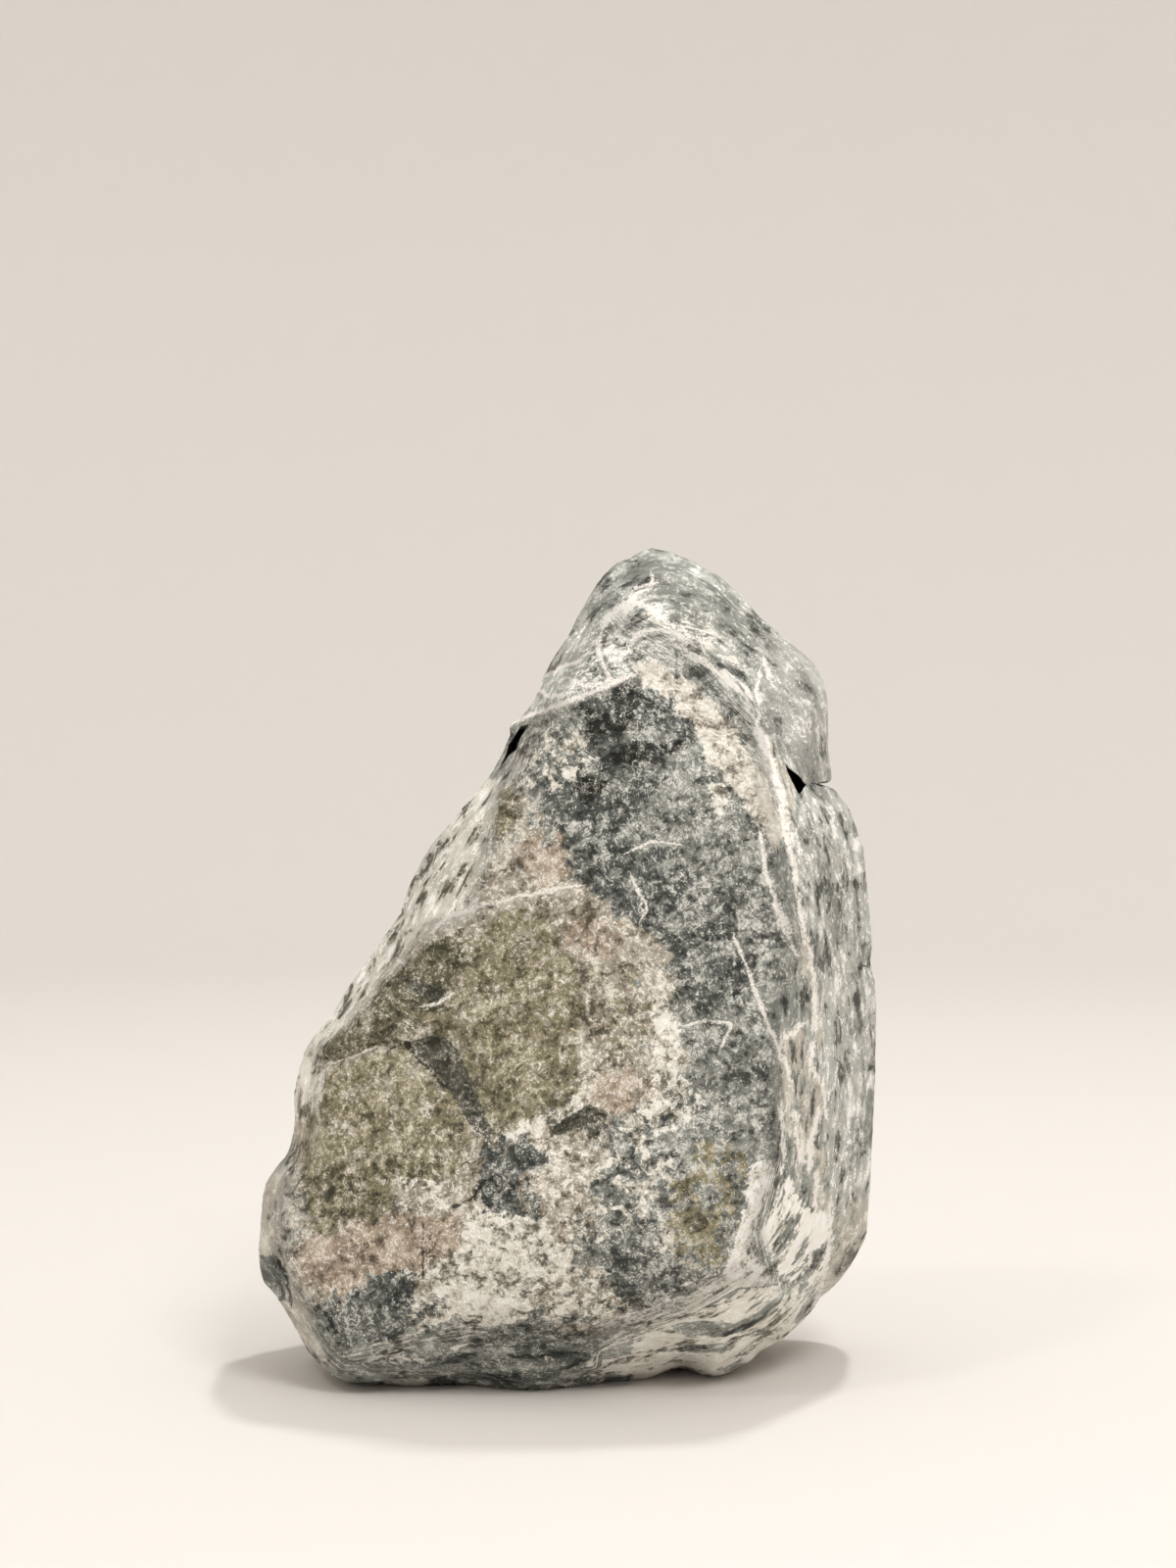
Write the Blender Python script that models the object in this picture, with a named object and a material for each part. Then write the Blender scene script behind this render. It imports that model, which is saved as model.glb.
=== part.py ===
"""A peaked river stone that stands on a small flat spot.

The stone is one closed solid, modelled in metres with +Z up. Its origin is the
middle of its bounding box, at the height of the floor, and it is seen from the
front when looking along +Y. Every size below is in millimetres.

The shape is worked the way a stone is worn. A blank with the stone's front
outline is planed by broad facets that meet in soft ridges, low swells and dents
are added, and the sharp chips and clefts are cut at the end.
"""
import math

import bmesh
import bpy
import numpy as np
from mathutils import Vector, noise

MM = 0.001

# Driving dimensions
WIDTH = 193.0
HEIGHT = 257.0
DEPTH = 150.0

# How the blank rounds off in depth, away from its widest section
SECTION_CENTRE = 4.0
SECTION_LEAN = 0.10
FLANK_INSET = 27.0
FLANK_POWER = 2.4

# The outline below is the one seen by an eye in front of the stone
EYE_DISTANCE = 1050.0
EYE_HEIGHT = 213.0
EYE_SIDE = 6.0

# The fineness of the surface: grid cells along each side of a six-sided ball,
# how often the surface is halved to find it, and what counts as on the floor
CELLS = 28
HALVINGS = 22
FLOOR_SNAP = 0.01
LONGEST_RAY = 1.5

# The middle of the stone, from which its surface is measured
CORE = np.array([0.0, 2.0, 105.0])

# The last move, which centres the stone's box on the origin
CENTRING = np.array([-0.8, -6.5, 0.0])

# The front outline, clockwise from the peak: right and up, with the floor at 0
OUTLINE = [
    (26, 256), (32, 254.5), (40, 251), (48, 246), (55, 240), (60, 234),
    (67.5, 227.5), (75, 221.5), (78.5, 216), (80.5, 209), (81, 201), (81, 193),
    (82, 187), (80.5, 183), (84, 179), (87.5, 175), (89.5, 169.5), (92, 162),
    (93, 150), (94, 138), (94.5, 131), (94, 126.5), (95.5, 120), (96, 108),
    (95.5, 91), (94, 59), (92.5, 43), (90.5, 38), (87, 32), (83, 27), (78, 23),
    (72, 15), (67, 10.5), (60, 7), (56, 3), (50, -0.5), (46, -1.5), (35, 1),
    (26, -1.5), (11, -3), (0, -5), (-12, -6), (-26, -5), (-45, -4.5), (-60, -3.5),
    (-68, -3), (-73, -1.5), (-77, 3), (-82, 10), (-86, 16), (-91, 25), (-94, 28.5),
    (-95.5, 33), (-96, 39), (-95, 46), (-94.5, 54), (-93.5, 58.5), (-90.5, 63.5),
    (-86.5, 68), (-84.5, 78), (-85, 84), (-84.5, 89), (-83, 94.5), (-81.5, 100),
    (-79, 104), (-73, 110.5), (-68.5, 118.5), (-62, 128), (-52, 142), (-49, 151),
    (-45.5, 158), (-42, 164), (-37.5, 169), (-31.5, 176), (-26, 182), (-20.5, 192),
    (-18, 200), (-12.5, 205.5), (-10, 210), (-8, 215), (-3, 223), (1, 230),
    (5, 237), (10, 246), (15.5, 251), (20, 254.5),
]

# Facets: a point on each, the way it faces (0 is the front, 90 the right side),
# how far it looks up, how soft the ridge round it is, and the radius of its
# hollow, where a small radius is a short scooped facet and FLAT is a plane
FLAT = math.inf
FACETS = {
    "broad front": ((10, -63, 100), 2, 9, 10, FLAT),
    "lower belly": ((0, -65, 46), 2, -20, 14, FLAT),
    "upper front": ((2, -42, 208), -20, 6, 10, 400),
    "olive face": ((-24, -63, 70), -26, 4, 12, 500),
    "left flank": ((-52, -30, 133), -72, 31, 5, 170),
    "cap left": ((2, -42, 208), -36, 50, 1.5, 300),
    "cap right": ((34, -47, 200), 44, 36, 14, 170),
    "right flank": ((73, -46, 120), 66, 3, 6, 400),
    "right shoulder": ((78, -40, 50), 50, -12, 10, FLAT),
    "broad back": ((4, 71, 84), 176, 8, 12, 500),
    "back left": ((-58, 50, 84), -140, 14, 8, 260),
    "back right": ((66, 52, 96), 132, 10, 7, 300),
    "back of the cap": ((24, 46, 205), 192, 32, 5, 240),
    "back shoulder": ((66, 40, 196), 150, 30, 6, 200),
    "back undercut": ((10, 64, 30), 172, -34, 10, FLAT),
    "left back undercut": ((-78, 30, 26), -120, -30, 8, FLAT),
    "front underside": ((0, -50, 4), 0, -80, 4, FLAT),
    "left underside": ((-72, 0, 6), -90, -81, 4, FLAT),
    "right underside": ((70, 0, 9), 90, -68, 5, FLAT),
    "back underside": ((0, 50, 5), 180, -76, 5, FLAT),
    "corner chip": ((-85, -31, 35), -72, -26, 0.8, 26),
    "back chip": ((56, 57, 62), 150, -8, 1.5, 40),
    "side chip": ((86, 24, 150), 108, 24, 1.5, 44),
}

# Swells and dents: where, how far they spread each way, and how far they stand
# out, where a hollow counts as less than nothing
SWELLS = {
    "hook": ((-12, -24, 205), (14, 16, 7), 4.0),
    "left bulge": ((-66, -34, 45), (26, 26, 22), 3.0),
    "belly swell": ((12, -66, 72), (40, 20, 34), 2.5),
    "shoulder swell": ((-62, -36, 110), (16, 16, 12), 3.0),
    "waist hollow": ((-78, -20, 68), (14, 30, 12), -2.5),
    "middle chip": ((4, -66, 79), (10, 8, 5), -2.0),
    "dark hollow": ((2, -58, 176), (16, 16, 9), -2.5),
    "lobe swell": ((72, 14, 206), (14, 26, 22), 3.5),
    "lower lobe swell": ((84, 6, 164), (12, 22, 14), 2.5),
    "back hollow": ((24, 66, 124), (30, 24, 42), -6.0),
    "back swell": ((-34, 66, 70), (30, 24, 30), 4.0),
    "back ledge": ((34, 60, 178), (34, 26, 12), 4.0),
}

# Creases and ledges, as lines across the front: their points, how far they go
# in, and how wide they are. A ledge also drops the skin on the right of its
# line, going from its first point, and the drop dies out over its width.
CREASES = {
    "lobe crease": ([(56, 234), (59, 218), (62, 204), (67, 189)], 2.2, 4.0),
    "crescent": ([(-49, 102), (-42, 104), (-35, 100), (-30, 92), (-26, 80)], 2.4, 4.5),
    "high chip": ([(-51, 122), (-47, 117), (-41, 115.5), (-37, 118)], 1.6, 4.0),
    "heel crease": ([(81, 58), (81.5, 40), (79, 24)], 2.0, 4.0),
    "low band": ([(-30, 11), (-10, 9), (8, 10)], 1.6, 5.0),
}
LEDGES = {
    "cap ledge": ([(-19, 200), (-2, 206), (10, 211), (21, 216)], 2.6, 16.0),
    "shoulder ledge": ([(-78, 98), (-67, 98.5), (-60, 102), (-50, 103.5)], 2.8, 14.0),
    "dark step": ([(8, 196), (20, 198), (39, 202)], 1.2, 8.0),
}
LEDGE_EDGE = 2.5

# Creases and ledges fade out over this depth, towards the widest section
FRONT_FADE = 18.0

# Clefts, as outlines across the front, with how deep each goes in steps: the
# depth of a step, and how much of the outline's size is left there
CLEFTS = {
    "left cleft": (
        [(-11, 201), (-16, 200.7), (-18.5, 195), (-19.5, 191), (-21.5, 187),
         (-18, 190.5), (-15, 193.5), (-14.5, 196.5)],
        [(-60, 1), (-10, 1), (3, 0.3)]),
    "right cleft": (
        [(67.5, 188.5), (72, 185), (74.5, 182), (72, 179), (69.5, 183)],
        [(-60, 1), (-20, 0.95), (8, 0.25)]),
    "right notch": (
        [(74, 182.3), (79, 183.4), (82, 185.2), (90, 188), (90, 177), (84, 179.6),
         (79, 181.9)],
        [(-40, 1), (16, 1), (58, 0.2)]),
}

# The slow waviness of the worn skin: size of the waves and their height
WAVES = ((34.0, 1.6), (13.0, 0.7))

STONE_COLOUR = (0.29, 0.29, 0.265, 1.0)
STONE_ROUGHNESS = 0.85


def facing(turn, lift):
    """The direction that a facet looks in, from its two angles in degrees."""
    turn = math.radians(turn)
    lift = math.radians(lift)
    level = math.cos(lift)
    return np.array([math.sin(turn) * level, -math.cos(turn) * level, math.sin(lift)])


def closed_curve(points, steps=4):
    """A smooth closed curve through the points, as short straight pieces."""
    points = np.array(points, dtype=float)
    before = np.roll(points, 1, axis=0)
    after = np.roll(points, -1, axis=0)
    beyond = np.roll(points, -2, axis=0)
    rows = []
    for step in range(steps):
        t = step / steps
        rows.append(
            points
            + 0.5 * t * (after - before)
            + t ** 2 * (before - 2.5 * points + 2 * after - 0.5 * beyond)
            + 0.5 * t ** 3 * (3 * points - before - 3 * after + beyond)
        )
    return np.stack(rows, axis=1).reshape(-1, 2)


def outline_distance(flat, curve):
    """How far each flat point is outside the curve, less than 0 inside it."""
    start = curve
    side = np.roll(curve, -1, axis=0) - start
    away = flat[:, None, :] - start[None, :, :]
    along = np.clip((away * side).sum(axis=2) / (side ** 2).sum(axis=1), 0, 1)
    gap = away - along[..., None] * side
    nearest = np.sqrt((gap ** 2).sum(axis=2)).min(axis=1)
    end = start + side
    crosses = (start[:, 1] > flat[:, None, 1]) != (end[:, 1] > flat[:, None, 1])
    rise = np.where(side[:, 1] == 0, 1.0, side[:, 1])
    where = start[:, 0] + (flat[:, None, 1] - start[:, 1]) / rise * side[:, 0]
    inside = (crosses & (flat[:, None, 0] < where)).sum(axis=1) % 2 == 1
    return np.where(inside, -nearest, nearest)


def soft_max(first, second, softness):
    """The larger of two distances, rounded where they meet."""
    overlap = np.clip(softness - np.abs(first - second), 0, None)
    return np.maximum(first, second) + overlap ** 2 / (4 * softness)


def seen_from_front(points):
    """Where the eye sees points on the plane through the stone's middle."""
    spread = (EYE_DISTANCE + points[:, 1]) / EYE_DISTANCE
    across = EYE_SIDE + (points[:, 0] - EYE_SIDE) / spread
    up = EYE_HEIGHT + (points[:, 2] - EYE_HEIGHT) / spread
    return np.stack([across, up], axis=1)


def line_distance(flat, line):
    """How far flat points are from a line, and on which side: right is more than 0."""
    line = np.array(line, dtype=float)
    best = np.full(len(flat), math.inf)
    right = np.zeros(len(flat))
    for start, end in zip(line[:-1], line[1:]):
        side = end - start
        away = flat - start
        along = np.clip(away @ side / (side @ side), 0, 1)
        gap = np.linalg.norm(away - along[:, None] * side, axis=1)
        turn = side[1] * away[:, 0] - side[0] * away[:, 1]
        right = np.where(gap < best, np.sign(turn), right)
        best = np.minimum(best, gap)
    return best, right


def blank(points, seen, curve):
    """The blank with the stone's outline, rounded off in depth."""
    widest = SECTION_CENTRE + SECTION_LEAN * points[:, 0]
    depth = np.abs(points[:, 1] - widest) / (DEPTH / 2)
    return outline_distance(seen, curve) + FLANK_INSET * depth ** FLANK_POWER


def front_relief(points, seen):
    """How far creases and ledges take the skin in, on the front alone."""
    relief = np.zeros(len(points))
    for line, depth, width in CREASES.values():
        gap, _ = line_distance(seen, line)
        relief += depth * np.exp(-((gap / width) ** 2))
    for line, depth, width in LEDGES.values():
        gap, right = line_distance(seen, line)
        below = 1 / (1 + np.exp(-4 * right * gap / LEDGE_EDGE))
        relief += depth * below * np.exp(-gap / width)
    return relief * np.clip((SECTION_CENTRE - points[:, 1]) / FRONT_FADE, 0, 1)


def stone(points, curve):
    """How far points are outside the stone, less than 0 inside it."""
    seen = seen_from_front(points)
    distance = blank(points, seen, curve)
    for place, turn, lift, softness, hollow in FACETS.values():
        away = points - np.array(place, dtype=float)
        height = away @ facing(turn, lift)
        reach = (away ** 2).sum(axis=1) - height ** 2
        distance = soft_max(distance, height - reach / (2 * hollow), softness)
    for place, spread, height in SWELLS.values():
        away = (points - np.array(place, dtype=float)) / np.array(spread, dtype=float)
        distance = distance - height * np.exp(-(away ** 2).sum(axis=1))
    for size, height in WAVES:
        waves = [noise.noise(Vector(point / size)) for point in points]
        distance = distance + height * np.array(waves)
    distance = distance + front_relief(points, seen)
    return np.maximum(distance, -points[:, 2])


def surface_points(rays, curve):
    """Where each ray from the core leaves the stone, found by halving."""
    near = np.zeros(len(rays))
    far = np.full(len(rays), LONGEST_RAY)
    for _ in range(HALVINGS):
        middle = (near + far) / 2
        inside = stone(CORE + rays * middle[:, None], curve) < 0
        near = np.where(inside, middle, near)
        far = np.where(inside, far, middle)
    return CORE + rays * near[:, None]


def worn_body():
    """The whole stone before its chips and clefts, as one smooth object."""
    mesh = bmesh.new()
    bmesh.ops.create_cube(mesh, size=2.0)
    bmesh.ops.subdivide_edges(mesh, edges=mesh.edges[:], cuts=CELLS - 1, use_grid_fill=True)
    cube = np.array([vertex.co[:] for vertex in mesh.verts])
    rays = np.tan(cube * math.pi / 4)
    rays /= np.linalg.norm(rays, axis=1)[:, None]
    rays *= np.array([WIDTH, DEPTH, HEIGHT]) / 2
    points = surface_points(rays, closed_curve(OUTLINE))
    points[points[:, 2] < FLOOR_SNAP, 2] = 0.0
    for vertex, point in zip(mesh.verts, points):
        vertex.co = Vector((point + CENTRING) * MM)
    bmesh.ops.recalc_face_normals(mesh, faces=mesh.faces[:])
    data = bpy.data.meshes.new("river_stone")
    mesh.to_mesh(data)
    mesh.free()
    body = bpy.data.objects.new("river_stone", data)
    bpy.context.scene.collection.objects.link(body)
    return body


def seen_at(flat, depth):
    """The point at some depth that the eye sees at a flat point."""
    spread = (EYE_DISTANCE + depth) / EYE_DISTANCE
    across = EYE_SIDE + (flat[0] - EYE_SIDE) * spread
    up = EYE_HEIGHT + (flat[1] - EYE_HEIGHT) * spread
    return Vector((np.array([across, depth, up]) + CENTRING) * MM)


def cleft_cutter(name, outline, steps):
    """A tapering prism that runs along the sight lines, which cuts a cleft."""
    mesh = bmesh.new()
    outline = np.array(outline, dtype=float)
    middle = outline.mean(axis=0)
    rings = []
    for depth, size in steps:
        ring = middle + (outline - middle) * size
        rings.append([mesh.verts.new(seen_at(flat, depth)) for flat in ring])
    for ring, deeper in zip(rings[:-1], rings[1:]):
        for here in range(len(outline)):
            there = (here + 1) % len(outline)
            mesh.faces.new([ring[there], ring[here], deeper[here], deeper[there]])
    mesh.faces.new(rings[0])
    mesh.faces.new(list(reversed(rings[-1])))
    bmesh.ops.recalc_face_normals(mesh, faces=mesh.faces[:])
    data = bpy.data.meshes.new(name)
    mesh.to_mesh(data)
    mesh.free()
    cutter = bpy.data.objects.new(name, data)
    cutter.hide_render = True
    cutter.display_type = "WIRE"
    bpy.context.scene.collection.objects.link(cutter)
    return cutter


def stone_material():
    """Dull grey-green stone."""
    material = bpy.data.materials.new("worn_stone")
    material.use_nodes = True
    shader = material.node_tree.nodes["Principled BSDF"]
    shader.inputs["Base Color"].default_value = STONE_COLOUR
    shader.inputs["Roughness"].default_value = STONE_ROUGHNESS
    shader.inputs["Metallic"].default_value = 0.0
    return material


def main():
    for thing in list(bpy.data.objects):
        bpy.data.objects.remove(thing, do_unlink=True)
    body = worn_body()
    body.data.materials.append(stone_material())
    body.data.shade_smooth()
    for name, cleft in CLEFTS.items():
        cut = body.modifiers.new(name, "BOOLEAN")
        cut.operation = "DIFFERENCE"
        cut.solver = "EXACT"
        cut.object = cleft_cutter(name.replace(" ", "_"), *cleft)


main()
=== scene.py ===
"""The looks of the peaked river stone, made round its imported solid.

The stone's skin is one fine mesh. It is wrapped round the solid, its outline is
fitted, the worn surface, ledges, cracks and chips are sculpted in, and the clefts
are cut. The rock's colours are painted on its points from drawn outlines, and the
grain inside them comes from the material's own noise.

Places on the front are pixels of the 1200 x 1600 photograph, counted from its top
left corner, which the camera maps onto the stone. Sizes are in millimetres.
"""
import math

import bmesh
import bpy
import numpy as np
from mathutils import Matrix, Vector, noise
from mathutils.bvhtree import BVHTree


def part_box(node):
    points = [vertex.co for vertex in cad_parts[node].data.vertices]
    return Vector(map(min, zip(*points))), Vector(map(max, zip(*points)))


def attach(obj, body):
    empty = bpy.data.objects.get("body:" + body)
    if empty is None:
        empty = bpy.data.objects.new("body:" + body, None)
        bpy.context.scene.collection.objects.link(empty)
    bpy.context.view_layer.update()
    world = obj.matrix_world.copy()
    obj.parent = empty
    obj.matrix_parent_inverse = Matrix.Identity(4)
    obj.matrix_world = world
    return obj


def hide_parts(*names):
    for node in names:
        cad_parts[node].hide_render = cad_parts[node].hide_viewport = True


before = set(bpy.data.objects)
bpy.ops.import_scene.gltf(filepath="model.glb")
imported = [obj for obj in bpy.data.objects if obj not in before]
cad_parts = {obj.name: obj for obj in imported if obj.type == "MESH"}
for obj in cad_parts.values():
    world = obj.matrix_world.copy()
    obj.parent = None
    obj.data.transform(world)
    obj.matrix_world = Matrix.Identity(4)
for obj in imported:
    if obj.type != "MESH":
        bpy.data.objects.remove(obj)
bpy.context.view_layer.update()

MM = 0.001

# The seed of the uneven moves that make the drawn edges and the cleft walls ragged
SEED = 1
noise.seed_set(SEED)

# The camera: where it stands, how far it looks down, and its focal length in pixels
EYE = np.array([5.6, -1056.5, 213.0])
LOOKS_DOWN = math.radians(1.66)
FOCAL = 3450.0
PHOTO_WIDTH = 1200
PHOTO_HEIGHT = 1600
SENSOR = 36.0

# About how large a pixel of the photograph is on the stone
PIXEL = 0.304

# The middle that the skin is wrapped round, and how many cells it has each way
CORE = np.array([-0.8, -4.5, 105.0])
CELLS = (104, 84, 132)
FAR = 500.0

# The front outline, clockwise from the peak
OUTLINE = [
    (665, 559), (684, 563), (710, 575), (737, 590), (759, 612), (777, 631), (801, 652),
    (825, 671), (838, 690), (844, 714), (845, 738), (845, 765), (848, 784), (849, 796),
    (855, 810), (866, 824), (873, 843), (881, 866), (885, 907), (887, 930), (890, 962),
    (888, 984), (892, 999), (894, 1022), (893, 1100), (888, 1207), (884, 1260),
    (877, 1276), (866, 1294), (852, 1312), (836, 1325), (831, 1334), (816, 1351),
    (799, 1366), (777, 1378), (764, 1390), (742, 1402), (730, 1405), (719, 1404),
    (707, 1399), (695, 1397), (682, 1399), (664, 1406), (642, 1410), (616, 1411),
    (580, 1417), (556, 1421), (525, 1421), (493, 1418), (477, 1414), (430, 1415),
    (398, 1413), (355, 1410), (339, 1405), (325, 1391), (315, 1380), (308, 1367),
    (297, 1347), (288, 1332), (279, 1319), (269, 1308), (265, 1293), (264, 1273),
    (266, 1251), (268, 1223), (271, 1208), (281, 1192), (294, 1178), (297, 1167),
    (301, 1145), (300, 1125), (301, 1110), (306, 1090), (311, 1072), (318, 1060),
    (338, 1038), (353, 1011), (375, 980), (408, 933), (417, 905), (429, 881),
    (441, 861), (456, 844), (475, 821), (493, 801), (502, 788), (512, 770),
    (520, 750), (520, 741), (538, 725), (547, 711), (552, 695), (568, 666),
    (583, 645), (595, 620), (611, 592), (630, 575),
]

# The clefts: the outline, and the wider area round its mouth where the solid's own
# cut is filled first
CLEFTS = {
    "left_cleft": ([(531, 741), (540, 739.5), (532, 752), (530, 758), (528, 765), (519, 772),
        (513, 780.5), (509, 785), (515, 773), (516.5, 765.5), (519, 759), (524, 753)],
        [(505, 735), (550, 733), (540, 772), (512, 793), (502, 789)]),
    "right_cleft": ([(801.3, 780), (810, 787.5), (817, 793.5), (823, 801), (819.5, 806.5), (815.7, 811),
        (812, 806), (807.4, 798), (805, 791)],
        [(795, 773), (826, 795), (826, 808), (813, 818), (800, 800)]),
    "right_notch": ([(818, 800), (832, 799), (839, 797.5), (847, 794.5), (862, 788), (862, 812),
        (849, 807), (842, 804.5), (832, 801.5)],
        [(812, 792), (870, 782), (870, 822), (836, 810), (818, 806)]),
}
# Where each cut begins and ends, from front to back
CLEFT_DEPTH = {"left_cleft": (-90, 2), "right_cleft": (-90, 8), "right_notch": (-60, 62)}

# Lines that are sculpted in. A groove is cut and a ridge is raised: the line, the
# height and the half width. A ledge drops what is on the right of its line: the
# line, the drop, and how far the drop reaches.
GROOVES = {
    "crescent edge": ([(414, 1066), (420, 1073), (434, 1088), (453, 1107)], 0.9, 0.8),
    "heel crack": ([(519, 1382), (530, 1384), (545, 1383), (562, 1384)], 0.8, 0.6),
    "second heel crack": ([(571, 1381), (590, 1381)], 0.6, 0.5),
    "small heel crack": ([(399, 1382), (411, 1379)], 0.6, 0.5),
    "upright crack": ([(432, 1249), (431, 1275), (432, 1306)], 0.4, 0.5),
    "ledge slit": ([(396, 1072), (411, 1065)], 0.5, 0.5),
    "middle slit": ([(462, 1232), (482, 1222), (492, 1208), (500, 1203)], 0.7, 0.7),
    "lobe crease": ([(775, 650), (774, 672), (781, 700), (791, 740), (801, 778)], 0.25, 1.4),
    "left slits": ([(332, 1340), (339, 1352), (344, 1362)], 0.6, 0.7),
    "far rim": ([(848, 1225), (846, 1262), (842, 1292), (836, 1322)], 0.35, 0.9),
    "rim nick": ([(893, 982), (886, 985), (880, 986)], 0.9, 1.0),
    "chip lip": ([(284, 1288), (292, 1300), (297, 1330)], 0.6, 0.8),
}
RIDGES = {
    "cap edge": ([(522, 741), (545, 733), (571, 722), (614, 706), (646, 690)], 0.7, 1.3),
    "crest": ([(789, 762), (801, 786), (807, 830), (812, 890), (822, 945), (831, 1000)], 0.5, 2.2),
    "upper step": ([(604, 742), (628, 745), (655, 738), (686, 752)], 0.3, 1.0),
}
LEDGES = {
    "cap edge": ([(512, 746), (545, 735), (571, 724), (614, 708), (648, 691)], 1.6, 5.0),
    "upper step": ([(600, 748), (625, 742), (655, 740), (688, 756)], 1.3, 5.0),
    "lower step": ([(628, 790), (650, 778), (690, 768), (712, 754)], 1.2, 5.0),
    "shoulder ledge": ([(334, 1078), (358, 1078), (372, 1069), (392, 1061), (412, 1063)], 1.6, 6.0),
    "crescent bank": ([(502, 1160), (488, 1120), (474, 1084), (456, 1060), (436, 1055)], 1.2, 4.0),
}
# Areas that are sunk below the skin: the outline, the depth, and how steep the bank is
SCOOPS = {
    "crescent": ([(418, 1064), (428, 1058), (441, 1056), (455, 1060), (470, 1078), (482, 1105),
        (492, 1130), (502, 1155), (495, 1163), (480, 1150), (470, 1130), (455, 1108), (440, 1090),
        (425, 1075)], 0.9, 1.6),
    "high chip": ([(410, 996), (418, 1011), (430, 1020), (445, 1020), (459, 1012), (448, 1002),
        (430, 1006), (418, 1000)], 0.9, 1.2),
    "under ledge": ([(338, 1074), (350, 1062), (372, 1052), (386, 1056), (378, 1066), (358, 1077)], 0.8, 1.4),
    "corner chip": ([(262, 1279), (281, 1281), (291, 1297), (298, 1334), (280, 1324), (262, 1304)], 1.0, 1.5),
    "dark chips": ([(563, 1152), (585, 1136), (600, 1130), (620, 1136), (616, 1150), (606, 1166),
        (590, 1151), (575, 1158)], 0.8, 1.2),
    "dark middle": ([(488, 1205), (500, 1200), (520, 1206), (532, 1214), (520, 1222), (500, 1218)], 0.7, 1.2),
    "deep spot": ([(586, 800), (598, 795), (617, 800), (610, 812), (600, 816), (590, 811)], 0.9, 1.6),
    "tan pits": ([(640, 970), (650, 970), (660, 982), (652, 984), (642, 976)], 0.6, 0.8),
}

# The rocks that make up the stone: the colour of their dark fleck, of the ground and
# of the pale fleck. The first lies under all the others.
ROCKS = {
    "grey": ("#4f4f4a", "#84837a", "#bcb9af"),
    "slate": ("#3b3d39", "#5d5e58", "#afaca2"),
    "ash": ("#6c6b62", "#a8a59b", "#ece7de"),
    "lobe": ("#8b877f", "#a09c93", "#d3cec4"),
    "white": ("#8b8475", "#ddd4c6", "#f3ebe1"),
    "chalk": ("#b3ab9d", "#ece4d8", "#fbf5ec"),
    "cream": ("#9c9182", "#d0c5b6", "#ebe2d6"),
    "olive": ("#665f49", "#877e64", "#b5ab90"),
    "umber": ("#474433", "#6b644e", "#a59d89"),
    "tan": ("#756b5a", "#a4998a", "#dbd1c1"),
    "pink": ("#7a6c5c", "#a6937f", "#cdbfae"),
    "flank": ("#655f4f", "#c4bdaf", "#f2ebe1"),
    "rim": ("#77736a", "#aea597", "#d6cec1"),
    "fibrous": ("#3a382d", "#545145", "#7b7767"),
    # The black also paints the shade under the ledges of the cap and of the upper step
    "black": ("#1a1a16", "#2f2f2a", "#5c5a51"),
}

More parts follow.
